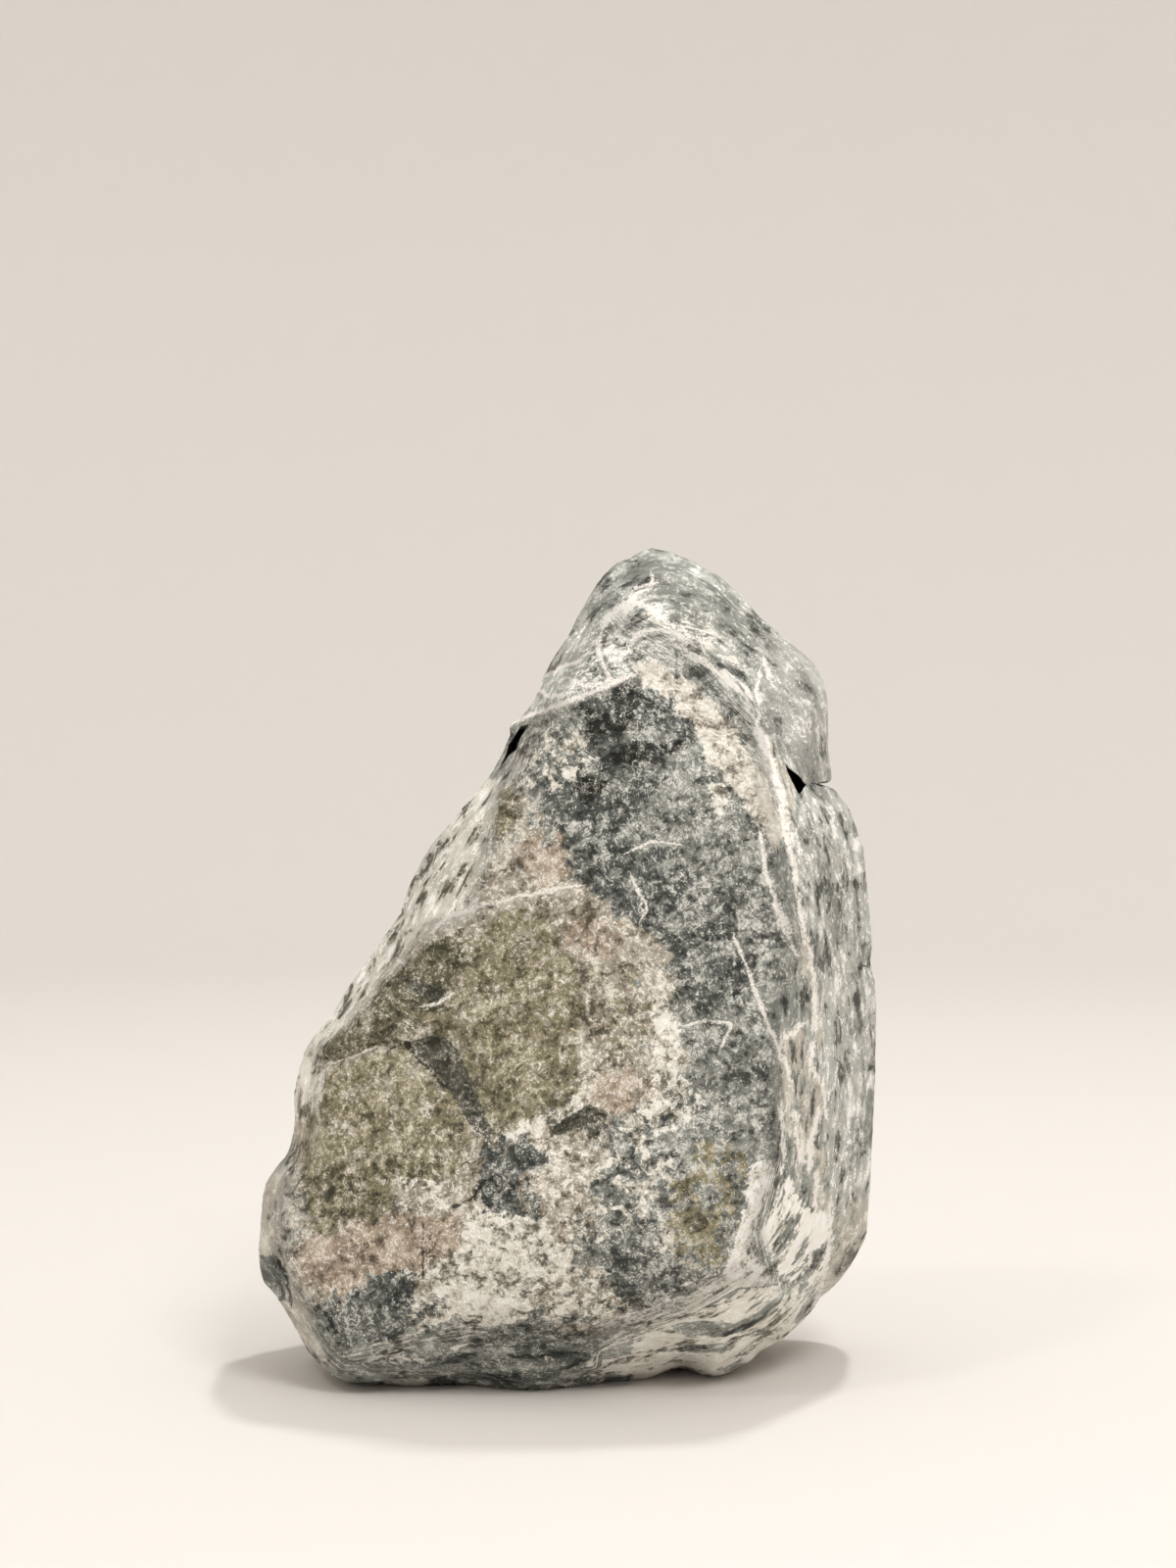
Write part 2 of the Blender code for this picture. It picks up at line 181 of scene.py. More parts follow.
# The marked areas of the front, painted in this order: the rock, its share of the
# area, how far in mm its edge fades, and the outline
AREAS = {
    "snow": ("white", 0.05, 6, [(200, 500), (950, 500), (950, 1450), (200, 1450)]),
    "tan ground": ("tan", 1.0, 8, [(600, 890), (560, 900), (500, 880), (430, 930), (300, 1070),
        (290, 1180), (300, 1330), (480, 1330), (600, 1250), (640, 1000)]),
    "slate belt": ("slate", 0.65, 8, [(600, 790), (660, 850), (720, 900), (760, 980), (765, 1020),
        (740, 1040), (712, 1030), (690, 990), (640, 930), (590, 890)]),
    "cap": ("ash", 0.5, 9, [(515, 741), (538, 725), (568, 666), (600, 600), (630, 560), (665, 545),
        (745, 570), (790, 620), (775, 645), (778, 700), (770, 745), (720, 690), (690, 675), (646, 690),
        (614, 706), (571, 722)]),
    "crown": ("grey", 1.0, 6, [(605, 605), (622, 582), (650, 572), (690, 577), (725, 600), (765, 645),
        (775, 675), (745, 655), (700, 625), (665, 612), (640, 603)]),
    "swirl": ("white", 0.25, 6, [(603, 690), (606, 655), (618, 628), (643, 608), (670, 608), (710, 638),
        (770, 682), (785, 730), (770, 748), (738, 700), (700, 672), (662, 668), (640, 692)]),
    "cap left": ("ash", 0.8, 5, [(545, 722), (560, 690), (590, 628), (610, 620), (608, 660), (598, 702)]),
    "upper lobe": ("lobe", 1.0, 5, [(775, 645), (800, 640), (835, 660), (860, 700), (862, 790),
        (820, 796), (801, 779), (785, 740), (778, 700)]),
    "right flank": ("ash", 0.8, 5, [(803, 860), (813, 812), (823, 796), (870, 812), (900, 907),
        (905, 1022), (905, 1100), (900, 1260), (875, 1300), (836, 1330), (846, 1225), (836, 1100),
        (833, 1030), (819, 938)]),
    "cream heart": ("cream", 1.0, 2, [(652, 692), (670, 690), (695, 702), (722, 728), (742, 758),
        (756, 792), (748, 790), (730, 752), (710, 730), (684, 710), (662, 702)]),
    "beside crest": ("rim", 0.6, 5, [(735, 715), (765, 745), (785, 790), (800, 850), (785, 850),
        (765, 800), (748, 760)]),
    "cream band": ("cream", 1.0, 2, [(643, 679), (671, 679), (696, 691), (720, 711), (745, 736),
        (765, 769), (786, 805), (802, 850), (790, 868), (769, 834), (745, 801), (720, 769), (708, 744),
        (692, 724), (663, 699)]),
    "crest": ("rim", 1.0, 1.6, [(771, 742), (779, 742), (792, 768), (803, 786), (811, 812), (808, 850),
        (802, 866), (794, 830), (783, 790)]),
    "white spot": ("white", 1.0, 2, [(724, 803), (738, 800), (743, 812), (735, 832), (726, 826)]),
    "upper slate": ("slate", 0.8, 3, [(588, 716), (640, 697), (662, 702), (690, 716), (710, 745),
        (708, 757), (690, 770), (650, 782), (630, 792), (612, 775), (590, 747)]),
    "deep slate": ("slate", 0.95, 6, [(555, 790), (600, 780), (640, 790), (690, 800), (640, 830),
        (610, 850), (585, 850), (556, 835)]),
    "left mix": ("white", 0.45, 7, [(525, 757), (548, 745), (585, 748), (595, 770), (585, 790),
        (560, 800), (515, 790)]),
    "tan column": ("tan", 0.75, 7, [(500, 800), (535, 800), (548, 835), (570, 862), (582, 905),
        (560, 915), (520, 920), (495, 900), (500, 850)]),
    "olive top": ("olive", 0.9, 5, [(500, 800), (525, 800), (530, 830), (520, 850), (500, 850),
        (480, 830)]),
    "pink spot": ("pink", 0.85, 6, [(536, 858), (558, 850), (575, 866), (580, 895), (560, 905),
        (535, 885)]),
    "left flank": ("flank", 0.95, 6, [(512, 795), (490, 785), (460, 812), (425, 852), (396, 900),
        (355, 970), (320, 1030), (296, 1065), (312, 1085), (330, 1072), (360, 1040), (403, 988),
        (441, 946), (484, 935), (495, 890), (500, 840)]),
    "tan shoulder": ("tan", 0.75, 6, [(590, 905), (625, 920), (660, 955), (672, 985), (640, 960),
        (600, 935), (570, 925)]),
    "olive face": ("olive", 0.85, 4, [(512, 932), (545, 930), (560, 945), (578, 970), (588, 1000),
        (592, 1040), (586, 1080), (592, 1120), (560, 1140), (520, 1150), (495, 1160), (480, 1120),
        (470, 1080), (450, 1060), (420, 1050), (440, 1020), (460, 1000), (440, 985), (450, 962),
        (480, 957), (500, 945)]),
    "lower olive": ("olive", 0.85, 4, [(325, 1095), (380, 1072), (412, 1066), (450, 1102), (472, 1130),
        (482, 1160), (465, 1195), (420, 1205), (395, 1235), (385, 1245), (345, 1262), (322, 1262),
        (316, 1240), (308, 1200), (314, 1150)]),
    "lower umber": ("umber", 0.2, 8, [(345, 1180), (400, 1165), (470, 1170), (455, 1195), (410, 1200),
        (385, 1240), (340, 1255), (322, 1240)]),
    "brown strip": ("umber", 1.0, 3, [(330, 1068), (360, 1043), (405, 995), (438, 960), (470, 960),
        (482, 980), (462, 1008), (442, 1030), (410, 1060), (380, 1070), (350, 1080)]),
    "tan face": ("tan", 0.95, 5, [(562, 930), (600, 920), (628, 935), (658, 955), (682, 975),
        (686, 1010), (692, 1040), (702, 1080), (690, 1110), (660, 1130), (630, 1135), (600, 1125),
        (592, 1080), (592, 1030), (582, 980)]),
    "tan olive": ("olive", 0.25, 8, [(600, 985), (640, 990), (665, 1010), (660, 1060), (640, 1085),
        (605, 1080), (598, 1030)]),
    "tan pink": ("pink", 0.6, 7, [(560, 935), (600, 925), (640, 950), (620, 985), (590, 975)]),
    "low pink": ("pink", 0.75, 6, [(600, 1100), (640, 1092), (665, 1105), (655, 1130), (620, 1140),
        (600, 1125)]),
    "pale rim": ("white", 0.75, 6, [(668, 985), (682, 1010), (690, 1045), (698, 1085), (712, 1120),
        (692, 1150), (650, 1165), (640, 1150), (660, 1120), (672, 1080), (664, 1030)]),
    "pale bank": ("white", 0.8, 5, [(500, 1160), (530, 1140), (565, 1128), (592, 1122), (600, 1135),
        (570, 1158), (520, 1165)]),
    # Painted light: lighter grey along the edge of the upper step, where it catches the light
    "upper step": ("grey", 0.8, 3, [(600, 742), (640, 742), (690, 745), (700, 752), (640, 760),
        (610, 756)]),
    "chips": ("fibrous", 1.0, 1.5, [(563, 1154), (583, 1136), (600, 1128), (620, 1136), (616, 1152),
        (606, 1166), (590, 1153), (575, 1158)]),
    "speckled slate": ("white", 0.28, 6, [(550, 1165), (600, 1165), (650, 1165), (690, 1160),
        (695, 1200), (690, 1250), (700, 1290), (640, 1300), (600, 1280), (570, 1262), (552, 1235),
        (545, 1200)]),
    "dark middle": ("slate", 0.9, 5, [(493, 1160), (540, 1158), (555, 1185), (548, 1215), (554, 1240),
        (500, 1240), (494, 1215), (484, 1180)]),
    "white patch": ("white", 1.0, 2.5, [(474, 1258), (488, 1216), (496, 1240), (549, 1242), (569, 1273),
        (592, 1292), (587, 1314), (560, 1332), (520, 1353), (486, 1351), (443, 1322), (438, 1300),
        (455, 1280), (474, 1270)]),
    "pink band": ("pink", 1.0, 3, [(312, 1266), (350, 1258), (380, 1245), (430, 1240), (464, 1240),
        (474, 1252), (468, 1275), (437, 1287), (430, 1298), (400, 1300), (370, 1324), (350, 1332),
        (333, 1312), (306, 1302), (302, 1280)]),
    "cream mix": ("white", 0.45, 6, [(388, 1232), (410, 1204), (450, 1194), (480, 1200), (465, 1230),
        (430, 1243), (395, 1250)]),
    "lower slate": ("slate", 1.0, 3, [(337, 1342), (362, 1320), (383, 1302), (410, 1298), (427, 1303),
        (424, 1340), (412, 1367), (385, 1374), (348, 1372), (336, 1356)]),
    "left rim": ("rim", 0.9, 6, [(252, 1215), (270, 1180), (306, 1185), (312, 1240), (306, 1290),
        (316, 1340), (333, 1402), (296, 1362), (260, 1325), (248, 1270)]),
    "corner chip": ("slate", 1.0, 1.2, [(254, 1279), (281, 1281), (291, 1297), (298, 1332), (276, 1328),
        (254, 1306)]),
    "knob": ("white", 0.7, 3, [(292, 1105), (308, 1078), (335, 1080), (332, 1105), (324, 1137),
        (302, 1144), (292, 1128)]),
    "low mix": ("white", 0.35, 7, [(425, 1308), (450, 1330), (490, 1353), (500, 1362), (470, 1380),
        (400, 1387), (345, 1394), (330, 1375), (385, 1372), (415, 1360)]),
    "low grey": ("slate", 0.6, 7, [(330, 1380), (400, 1385), (470, 1378), (480, 1392), (440, 1402),
        (345, 1402)]),
    "dark band": ("slate", 0.65, 4, [(470, 1378), (500, 1357), (560, 1344), (600, 1360), (650, 1374),
        (650, 1390), (600, 1396), (540, 1400), (480, 1395)]),
    # Painted shade: dark slate along the bottom edge, where the stone curves under towards the floor
    "shade along bottom edge": ("slate", 0.9, 3, [(440, 1404), (540, 1400), (640, 1394), (655, 1406), (540, 1432),
        (440, 1427)]),
    "right olive": ("olive", 0.6, 10, [(700, 1158), (752, 1170), (760, 1200), (752, 1250), (735, 1282),
        (700, 1287), (690, 1250), (690, 1200)]),
    "low olive": ("tan", 0.6, 9, [(545, 1322), (600, 1290), (640, 1312), (662, 1340), (600, 1364),
        (565, 1354)]),
    "low olive flecks": ("white", 0.3, 6, [(560, 1318), (600, 1300), (640, 1318), (655, 1340),
        (600, 1356), (570, 1348)]),
    "blotch": ("slate", 1.0, 3, [(612, 1264), (640, 1254), (662, 1270), (678, 1290), (662, 1310),
        (635, 1320), (620, 1295)]),
    "low crest": ("chalk", 1.0, 2, [(764, 1190), (785, 1184), (784, 1212), (770, 1250), (762, 1280),
        (790, 1300), (770, 1313), (738, 1302), (755, 1250)]),
    "mid crest": ("rim", 0.6, 3, [(796, 1046), (815, 1048), (835, 1100), (840, 1160), (832, 1192),
        (812, 1192), (796, 1140)]),
    "streaked crest": ("chalk", 0.55, 5, [(785, 1190), (838, 1190), (846, 1300), (820, 1314),
        (790, 1300), (770, 1262)]),
    "crest edge": ("rim", 0.6, 4, [(806, 860), (818, 935), (829, 985), (836, 1040), (842, 1160),
        (848, 1230), (838, 1230), (830, 1100), (826, 1030), (812, 940)]),
    # Partly the rock's white and partly painted light: its share is raised to make up for the little light
    # reaching the lower right from below
    "corner": ("white", 0.82, 10, [(650, 1350), (740, 1295), (830, 1305), (852, 1314), (810, 1376),
        (735, 1420), (690, 1410), (650, 1414), (600, 1412)]),
    "far lobe": ("rim", 0.9, 4, [(850, 1225), (900, 1215), (900, 1260), (877, 1304), (838, 1334),
        (844, 1290)]),
    "tan spot": ("tan", 1.0, 2, [(562, 1222), (580, 1220), (582, 1240), (566, 1243)]),
    "ledge shade": ("umber", 0.9, 2, [(332, 1077), (352, 1058), (378, 1053), (387, 1058), (380, 1068),
        (358, 1079)]),
    "high chip": ("fibrous", 0.9, 1.5, [(409, 996), (418, 1013), (430, 1022), (447, 1021), (460, 1012),
        (446, 1004), (430, 1004), (418, 998)]),
    "deep spot": ("black", 1.0, 2, [(584, 800), (598, 793), (619, 799), (612, 813), (600, 818),
        (588, 812)]),
    # Painted shade: black under the overhanging edge of the cap
    "shade under cap edge": ("black", 0.85, 2, [(598, 747), (596, 728), (625, 712), (655, 699), (665, 710),
        (650, 724), (640, 740), (620, 748)]),
    # Painted shade: black under the ledge of the upper step
    "middle chip": ("black", 0.85, 2, [(624, 770), (650, 757), (680, 754), (706, 752), (690, 767),
        (660, 777), (640, 787), (631, 780)]),
    "crescent": ("fibrous", 1.0, 1.2, SCOOPS["crescent"][0]),
}

# Where the grain runs in streaks beside the outline also further in: how much, how
# far in mm its edge fades, and the outline
STREAKED = {
    "cap": (0.75, 12, [(600, 600), (640, 560), (700, 560), (790, 620), (850, 700), (850, 780),
        (800, 780), (770, 740), (700, 670), (640, 640)]),
    "crest": (0.9, 6, [(770, 740), (800, 740), (830, 800), (900, 850), (910, 1100), (900, 1300),
        (840, 1340), (790, 1320), (770, 1260), (790, 1180), (790, 1040), (810, 960), (790, 860)]),
    "corner": (0.9, 10, [(600, 1370), (700, 1330), (750, 1300), (850, 1300), (800, 1400), (700, 1430),
        (600, 1430)]),
    "foot": (0.7, 8, [(340, 1385), (480, 1360), (640, 1370), (640, 1430), (340, 1430)]),
    "left flank": (0.9, 6, [(512, 795), (470, 790), (380, 900), (290, 1060), (320, 1085), (403, 990),
        (441, 948), (480, 935)]),
}

# White veins on the front, with painted highlights along the cap's edge and the left
# ridge: the line and the half width. Close neighbours are in different sets.
VEINS_AND_HIGHLIGHTS = {
    "arc": ([(636, 626), (640, 619), (650, 615), (662, 620), (675, 630), (690, 641), (710, 650),
        (724, 658)], 0.9),
    "star": ([(634, 618), (645, 609), (660, 601), (666, 595), (665, 589)], 0.6),
    "fan": ([(690, 659), (715, 671), (731, 685), (744, 698)], 0.6),
    "fan end": ([(738, 684), (758, 698), (767, 712)], 0.5),
    "lobe tick": ([(780, 674), (786, 692)], 0.6),
    # Painted highlight: a white line along the ridge of the cap's edge, where it catches the light
    "cap edge": ([(521, 738), (552, 726), (575, 719), (600, 708), (625, 697), (646, 690)], 0.7),
    "left bow": ([(556, 691), (572, 681), (590, 675), (601, 666)], 0.5),
    "plate": ([(775, 747), (782, 762), (790, 787), (797, 812), (802, 845), (806, 860)], 1.4),
    "long hair": ([(750, 958), (765, 995), (775, 1025), (790, 1060), (796, 1078)], 0.5),
    "cross": ([(700, 1047), (722, 1041), (746, 1045), (738, 1066)], 0.45),
    "crack line": ([(640, 870), (665, 858), (690, 860)], 0.35),
    "splinter": ([(802, 1060), (811, 1051), (818, 1046)], 0.8),
    "splinter left": ([(801, 1082), (806, 1102)], 0.7),
    "blade": ([(797, 1130), (800, 1182)], 0.6),
    "right blade": ([(836, 1133), (829, 1160), (825, 1192)], 1.1),
    "rim": ([(848, 1225), (846, 1270), (838, 1310), (833, 1325)], 0.7),
    # Painted highlight: a white line along the ridge between the left flank and the olive face
    "left ridge highlight": ([(441, 950), (460, 934), (500, 922), (545, 912), (590, 903)], 0.55),
    "bracket": ([(334, 1086), (360, 1079), (384, 1068)], 0.35),
    "high chip edge": ([(432, 1026), (447, 1023), (462, 1014)], 0.5),
}
MORE_VEINS = {
    "slate hair": ([(646, 896), (653, 911), (661, 926), (655, 938)], 0.45),
    "slate side": ([(776, 853), (779, 873), (782, 896), (790, 915), (797, 932), (806, 947)], 0.6),
    "outer arc": ([(613, 672), (610, 657), (614, 642), (620, 630), (630, 621), (641, 616)], 0.75),
    "strand": ([(621, 687), (613, 674), (610, 662)], 0.65),
    "star arm": ([(649, 600), (661, 598), (670, 594)], 0.55),
    "lower arc": ([(644, 658), (650, 647), (665, 642), (680, 644), (697, 651)], 0.7),
    "fan low": ([(699, 668), (725, 680), (741, 691), (752, 703)], 0.55),
    "lobe edge": ([(776, 684), (772, 705), (775, 725), (772, 742)], 0.45),
    "left fork": ([(549, 701), (557, 710), (574, 710)], 0.6),
    "left bow low": ([(586, 695), (596, 700), (616, 697)], 0.6),
    "crest": ([(806, 860), (812, 900), (819, 938), (827, 976), (831, 1002), (832, 1050)], 0.8),
    "second crest": ([(789, 903), (791, 925), (798, 946), (812, 972)], 0.7),
    "slate fork": ([(645, 898), (655, 915), (652, 926)], 0.5),
    "splinter low": ([(830, 1065), (827, 1090), (835, 1102)], 0.9),
    "broad blade": ([(812, 1138), (815, 1160), (817, 1184)], 1.3),
    "thin blade": ([(840, 1104), (843, 1138)], 0.6),
    "low blade": ([(834, 1196), (832, 1240), (826, 1290)], 0.7),
}

# The streaks run beside the outline, full up to one distance from it and gone at the
# other, and they are this many times as long as they are wide. Their course is eased
# by the rounding. Behind they have this share and run upright, round a body of about
# this radius.
STREAK_FULL = 3.0
STREAK_GONE = 9.0
GRAIN_STRETCH = 6.0
ROUNDING = 5.0
STREAK_BEHIND = 0.55
GIRTH = 70.0

# The patches behind, painted in this order: the rock, their size in mm, the heights of
# noise between which they come on, and the seed of that noise
BACK_PATCHES = [
    ("ash", 34.0, 0.0, 0.35, 21.0),
    ("slate", 44.0, 0.0, 0.3, 33.0),
    ("tan", 38.0, 0.2, 0.45, 69.0),
    ("white", 27.0, 0.2, 0.45, 45.0),
    ("olive", 40.0, 0.15, 0.4, 57.0),
]
BACK_SHARE = 0.9

# How finely the drawn outline is read, in pixels: for the shape, and for the streaks,
# for which it is eased this many times
OUTLINE_STEP = 5
STREAK_STEP = 8
EASINGS = 30

# Skin within about this many pixels of the rim goes with the rim onto the outline, and
# where there is no skin near the outline, the rim counts as this far off
RIM = 26
RIM_GONE = -12.0

# Points are compared with the outline in blocks of this many
BLOCK = 5000

# The solid's facets are eased so many times, each time followed by a step back that
# keeps the stone's size, and then its outline is fitted so many times
EASE_TIMES = 10
EASE = 0.5
EASE_BACK = -0.52
FIT_TIMES = 3
FILL_TIMES = 300

# Points up to these heights in mm stay on the floor: before the sculpting, and in it
ON_FLOOR = 0.05
RESTING = 0.3

# The cells are halved this near to a drawn detail, in mm, where the skin faces the
# camera at least so squarely
DETAIL_REACH = 2.6
FACING_LEAST = -0.1

# The worn surface: the size and the height in mm of its lumps, hewn faces, ripples and
# pits, and the size and the strength of its small tilted chips
LUMPS = (16.0, 0.45)
HEWN = (11.0, 0.5)
RIPPLES = (4.0, 0.16)
PITS = (2.6, 0.35)
CHIPS = (6.5, 0.8)

# The chips' edges are bent by this share of their size. The large number sets the
# tilts of neighbouring chips apart.
CHIP_BEND = 0.3
CHIP_SEEDS = (41.0, 48.0, 55.0)
TILT_APART = 97.0

# The cutters of the clefts: the length of their sides in pixels, their rings, where and
# how much they taper, and the size and the amount in mm of their raggedness
CUT_SIDE = 3
CUT_RINGS = 24
TAPER_FROM = -20
TAPER = 0.75
JAG = (4.0, 0.5)

# Grooves deeper than this, in mm, are painted as dark cracks
CRACK_DEPTH = 0.38

# A drawn line is painted out to this many half widths
LINE_FAR = 9.0

# What the light of the scene takes from the colours of the photograph
TINT = np.array([1.05, 1.10, 1.14])

# How fine the rock is: the sizes in mm of its blotches, crumbs, grain, streaks, broken
# faces, ragged borders, felt and low relief, and the width and length of its fibres
BLOTCH = 9.0
CRUMB = 2.2
GRAIN = 0.75
BAND = 1.9
FACE = 4.0
RAGGED = 4.0
FELT = 3.6
RELIEF = 1.5
FIBRE = (0.6, 6.0)
FACE_TURN = (0.0, 0.45, 0.0)
FACE_STRETCH = (0.6, 1.0, 1.3)
THREADS = (3.0, 5.0)
THREAD_EDGE = (0.004, 0.014)

# The stronger of two fibres lies this much above the mean of one
FELT_LIFT = 0.048

# The darkest and brightest flecks, the white lines, the dark cracks and the floor
DEEPEST = (0.015, 0.015, 0.013, 1)
BRIGHTEST = (0.86, 0.83, 0.78, 1)
LINE_WHITE = (0.86, 0.82, 0.76, 1)
CRACK_DARK = (0.020, 0.020, 0.017, 1)
FLOOR_PALE = (0.735, 0.705, 0.67, 1)

# The floor in metres: how far it is flat, the radius of its bend, the height of its
# wall, and how many sides it has all round
FLAT = 1.5
BEND = 0.9
WALL = 3.2
SIDES = 96


def photo_place(points):
    """The pixels at which the camera sees points, and their depth from it."""
    away = points - EYE
    down = math.sin(LOOKS_DOWN)
    level = math.cos(LOOKS_DOWN)
    depth = away[:, 1] * level - away[:, 2] * down
    rise = away[:, 1] * down + away[:, 2] * level
    across = PHOTO_WIDTH / 2 + FOCAL * away[:, 0] / depth
    row = PHOTO_HEIGHT / 2 - FOCAL * rise / depth
    return np.stack([across, row], axis=1), depth


def sight(place, y):
    """The point at some y that the camera sees at a pixel."""
    across = (place[0] - PHOTO_WIDTH / 2) / FOCAL
    rise = (PHOTO_HEIGHT / 2 - place[1]) / FOCAL
    down = math.sin(LOOKS_DOWN)
    level = math.cos(LOOKS_DOWN)
    ray = np.array([across, level + rise * down, rise * level - down])
    return EYE + ray * (y - EYE[1]) / ray[1]


def smooth(value, low, high):
    """A soft step from 0 at low to 1 at high."""
    share = np.clip((value - low) / (high - low), 0, 1)
    return share * share * (3 - 2 * share)


def line_gap(places, line):
    """How far places are from a line in mm, and their side of it: right is above 0."""
    line = np.array(line, dtype=float)
    best = np.full(len(places), math.inf)
    right = np.zeros(len(places))
    for start, end in zip(line[:-1], line[1:]):
        side = end - start
        length = np.linalg.norm(side)
        away = places - start
        share = np.clip(away @ side / length ** 2, 0, 1)
        gap = np.linalg.norm(away - share[:, None] * side, axis=1)
        nearer = gap < best
        turn = side[0] * away[:, 1] - side[1] * away[:, 0]
        right = np.where(nearer, np.sign(turn), right)
        best = np.minimum(best, gap)
    return best * PIXEL, right


def depth_inside(places, outline):
    """How far places are inside an outline in mm, less than 0 outside it."""
    loop = list(outline) + [outline[0]]
    gap, _ = line_gap(places, loop)
    inside = np.zeros(len(places), dtype=bool)
    for (x0, y0), (x1, y1) in zip(loop[:-1], loop[1:]):
        if y0 == y1:
            continue
        crosses = (y0 > places[:, 1]) != (y1 > places[:, 1])
        inside ^= crosses & (places[:, 0] < x0 + (places[:, 1] - y0) / (y1 - y0) * (x1 - x0))
    return np.where(inside, gap, -gap)


def wander(points, size, amount, seed):
    """Random moves across the photograph, in pixels, that make a drawn edge ragged."""
    offset = Vector((seed, seed * 2.0, -seed))
    moves = [noise.noise_vector(Vector(point / size) + offset)[:2] for point in points]
    return np.array(moves) * amount / PIXEL


def rough(points, size, octaves, seed):
    """Smooth random heights of a given size, about from -1 to 1."""
    offset = Vector((seed, -seed, seed * 0.5))
    return np.array([noise.fractal(Vector(point / size) + offset, 1.0, 2.0, octaves)
                     for point in points])


def ball_cage(counts):
    """A six-sided ball of even cells: the directions from its middle, and its faces."""
    counts = np.array(counts)
    corners = np.indices(counts + 1).reshape(3, -1).T
    outer = ((corners == 0) | (corners == counts)).any(axis=1)
    numbers = np.full(counts + 1, -1)
    numbers[tuple(corners[outer].T)] = np.arange(outer.sum())
    faces = []
    for axis in range(3):
        for end in (0, counts[axis]):
            sheet = np.take(numbers, end, axis=axis)
            quads = np.stack([sheet[:-1, :-1], sheet[1:, :-1], sheet[1:, 1:], sheet[:-1, 1:]], axis=-1)
            quads = quads.reshape(-1, 4)
            faces.append(quads[:, ::-1] if (end == 0) != (axis == 1) else quads)
    rays = np.tan((corners[outer] / counts * 2 - 1) * math.pi / 4)
    return rays, np.concatenate(faces)


def wrapped(rays, solid):
    """Where the rays from the core leave the solid, found from outside."""
    mesh = solid.data
    vertices = [vertex.co[:] for vertex in mesh.vertices]
    tree = BVHTree.FromPolygons(vertices, [face.vertices[:] for face in mesh.polygons])
    low, high = (np.array(corner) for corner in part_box("river_stone"))
    rays = rays * (high - low) / 2
    rays = rays / np.linalg.norm(rays, axis=1)[:, None]
    points = []
    for ray in rays:
        start = Vector((CORE + ray * FAR) * MM)
        hit = tree.ray_cast(start, Vector(-ray))[0]
        points.append(hit[:])
    return np.array(points) / MM


def evened(points, pairs, share, moving):
    """Each moving point goes a share of the way to the middle of its neighbours."""
    count = np.bincount(pairs.ravel(), minlength=len(points))
    total = np.zeros_like(points)
    for axis in range(3):
        total[:, axis] = (
            np.bincount(pairs[:, 0], points[pairs[:, 1], axis], len(points))
            + np.bincount(pairs[:, 1], points[pairs[:, 0], axis], len(points)))
    step = (total / count[:, None] - points) * share
    return points + np.where(moving[:, None], step, 0)


def new_object(name, data):
    """A new object in the scene."""
    thing = bpy.data.objects.new(name, data)
    bpy.context.scene.collection.objects.link(thing)
    return thing


def mesh_object(name, points, faces):
    """A new object from points in mm and faces."""
    mesh = bpy.data.meshes.new(name)
    mesh.from_pydata((points * MM).tolist(), [], faces.tolist())
    mesh.update()
    return new_object(name, mesh)


def built_object(name, mesh):
    """A new object from a mesh that has just been built."""
    data = bpy.data.meshes.new(name)
    mesh.to_mesh(data)
    mesh.free()
    return new_object(name, data)


def read_points(mesh):
    """The mesh's points in mm."""
    values = np.empty(len(mesh.vertices) * 3, np.float32)
    mesh.vertices.foreach_get("co", values)
    return values.reshape(-1, 3).astype(float) / MM


def write_points(mesh, points):
    """Moves the mesh's points, given in mm."""
    mesh.vertices.foreach_set("co", (points * MM).astype(np.float32).ravel())
    mesh.update()


def read_normals(mesh):
    """The direction that the skin faces at each point."""
    values = np.empty(len(mesh.vertices) * 3, np.float32)
    mesh.vertex_normals.foreach_get("vector", values)
    return values.reshape(-1, 3).astype(float)


def read_edges(mesh):
    """The pairs of points that the mesh's edges join."""
    values = np.empty(len(mesh.edges) * 2, np.int32)
    mesh.edges.foreach_get("vertices", values)
    return values.reshape(-1, 2)


def facing_eye(points, normals):
    """How squarely the skin faces the camera, from 1 to -1."""
    to_eye = EYE - points
    to_eye /= np.linalg.norm(to_eye, axis=1)[:, None]
    return (normals * to_eye).sum(axis=1)


def fill_clefts(points, pairs):
    """Bridges the solid's clefts with a smooth skin, which is cut afresh later."""
    places, _ = photo_place(points)
    cut = np.zeros(len(points), dtype=bool)
    for _, mouth in CLEFTS.values():
        cut |= depth_inside(places, mouth) > 0
    for _ in range(FILL_TIMES):
        points = evened(points, pairs, 1.0, cut)
    return points


def resampled(loop, step, whole=round):
    """Even points along a closed line, a whole number of them on each side."""
    loop = np.array(list(loop) + [loop[0]], dtype=float)
    samples = []
    for start, end in zip(loop[:-1], loop[1:]):
        count = max(1, int(whole(np.linalg.norm(end - start) / step)))
        samples += [start + (end - start) * place / count for place in range(count)]
    return np.array(samples)


def square_gaps(places, samples):
    """The places block by block, each block with its squared distances from the samples."""
    for first in range(0, len(places), BLOCK):
        block = slice(first, first + BLOCK)
        away = places[block, None, :] - samples[None, :, :]
        yield block, (away ** 2).sum(axis=2)


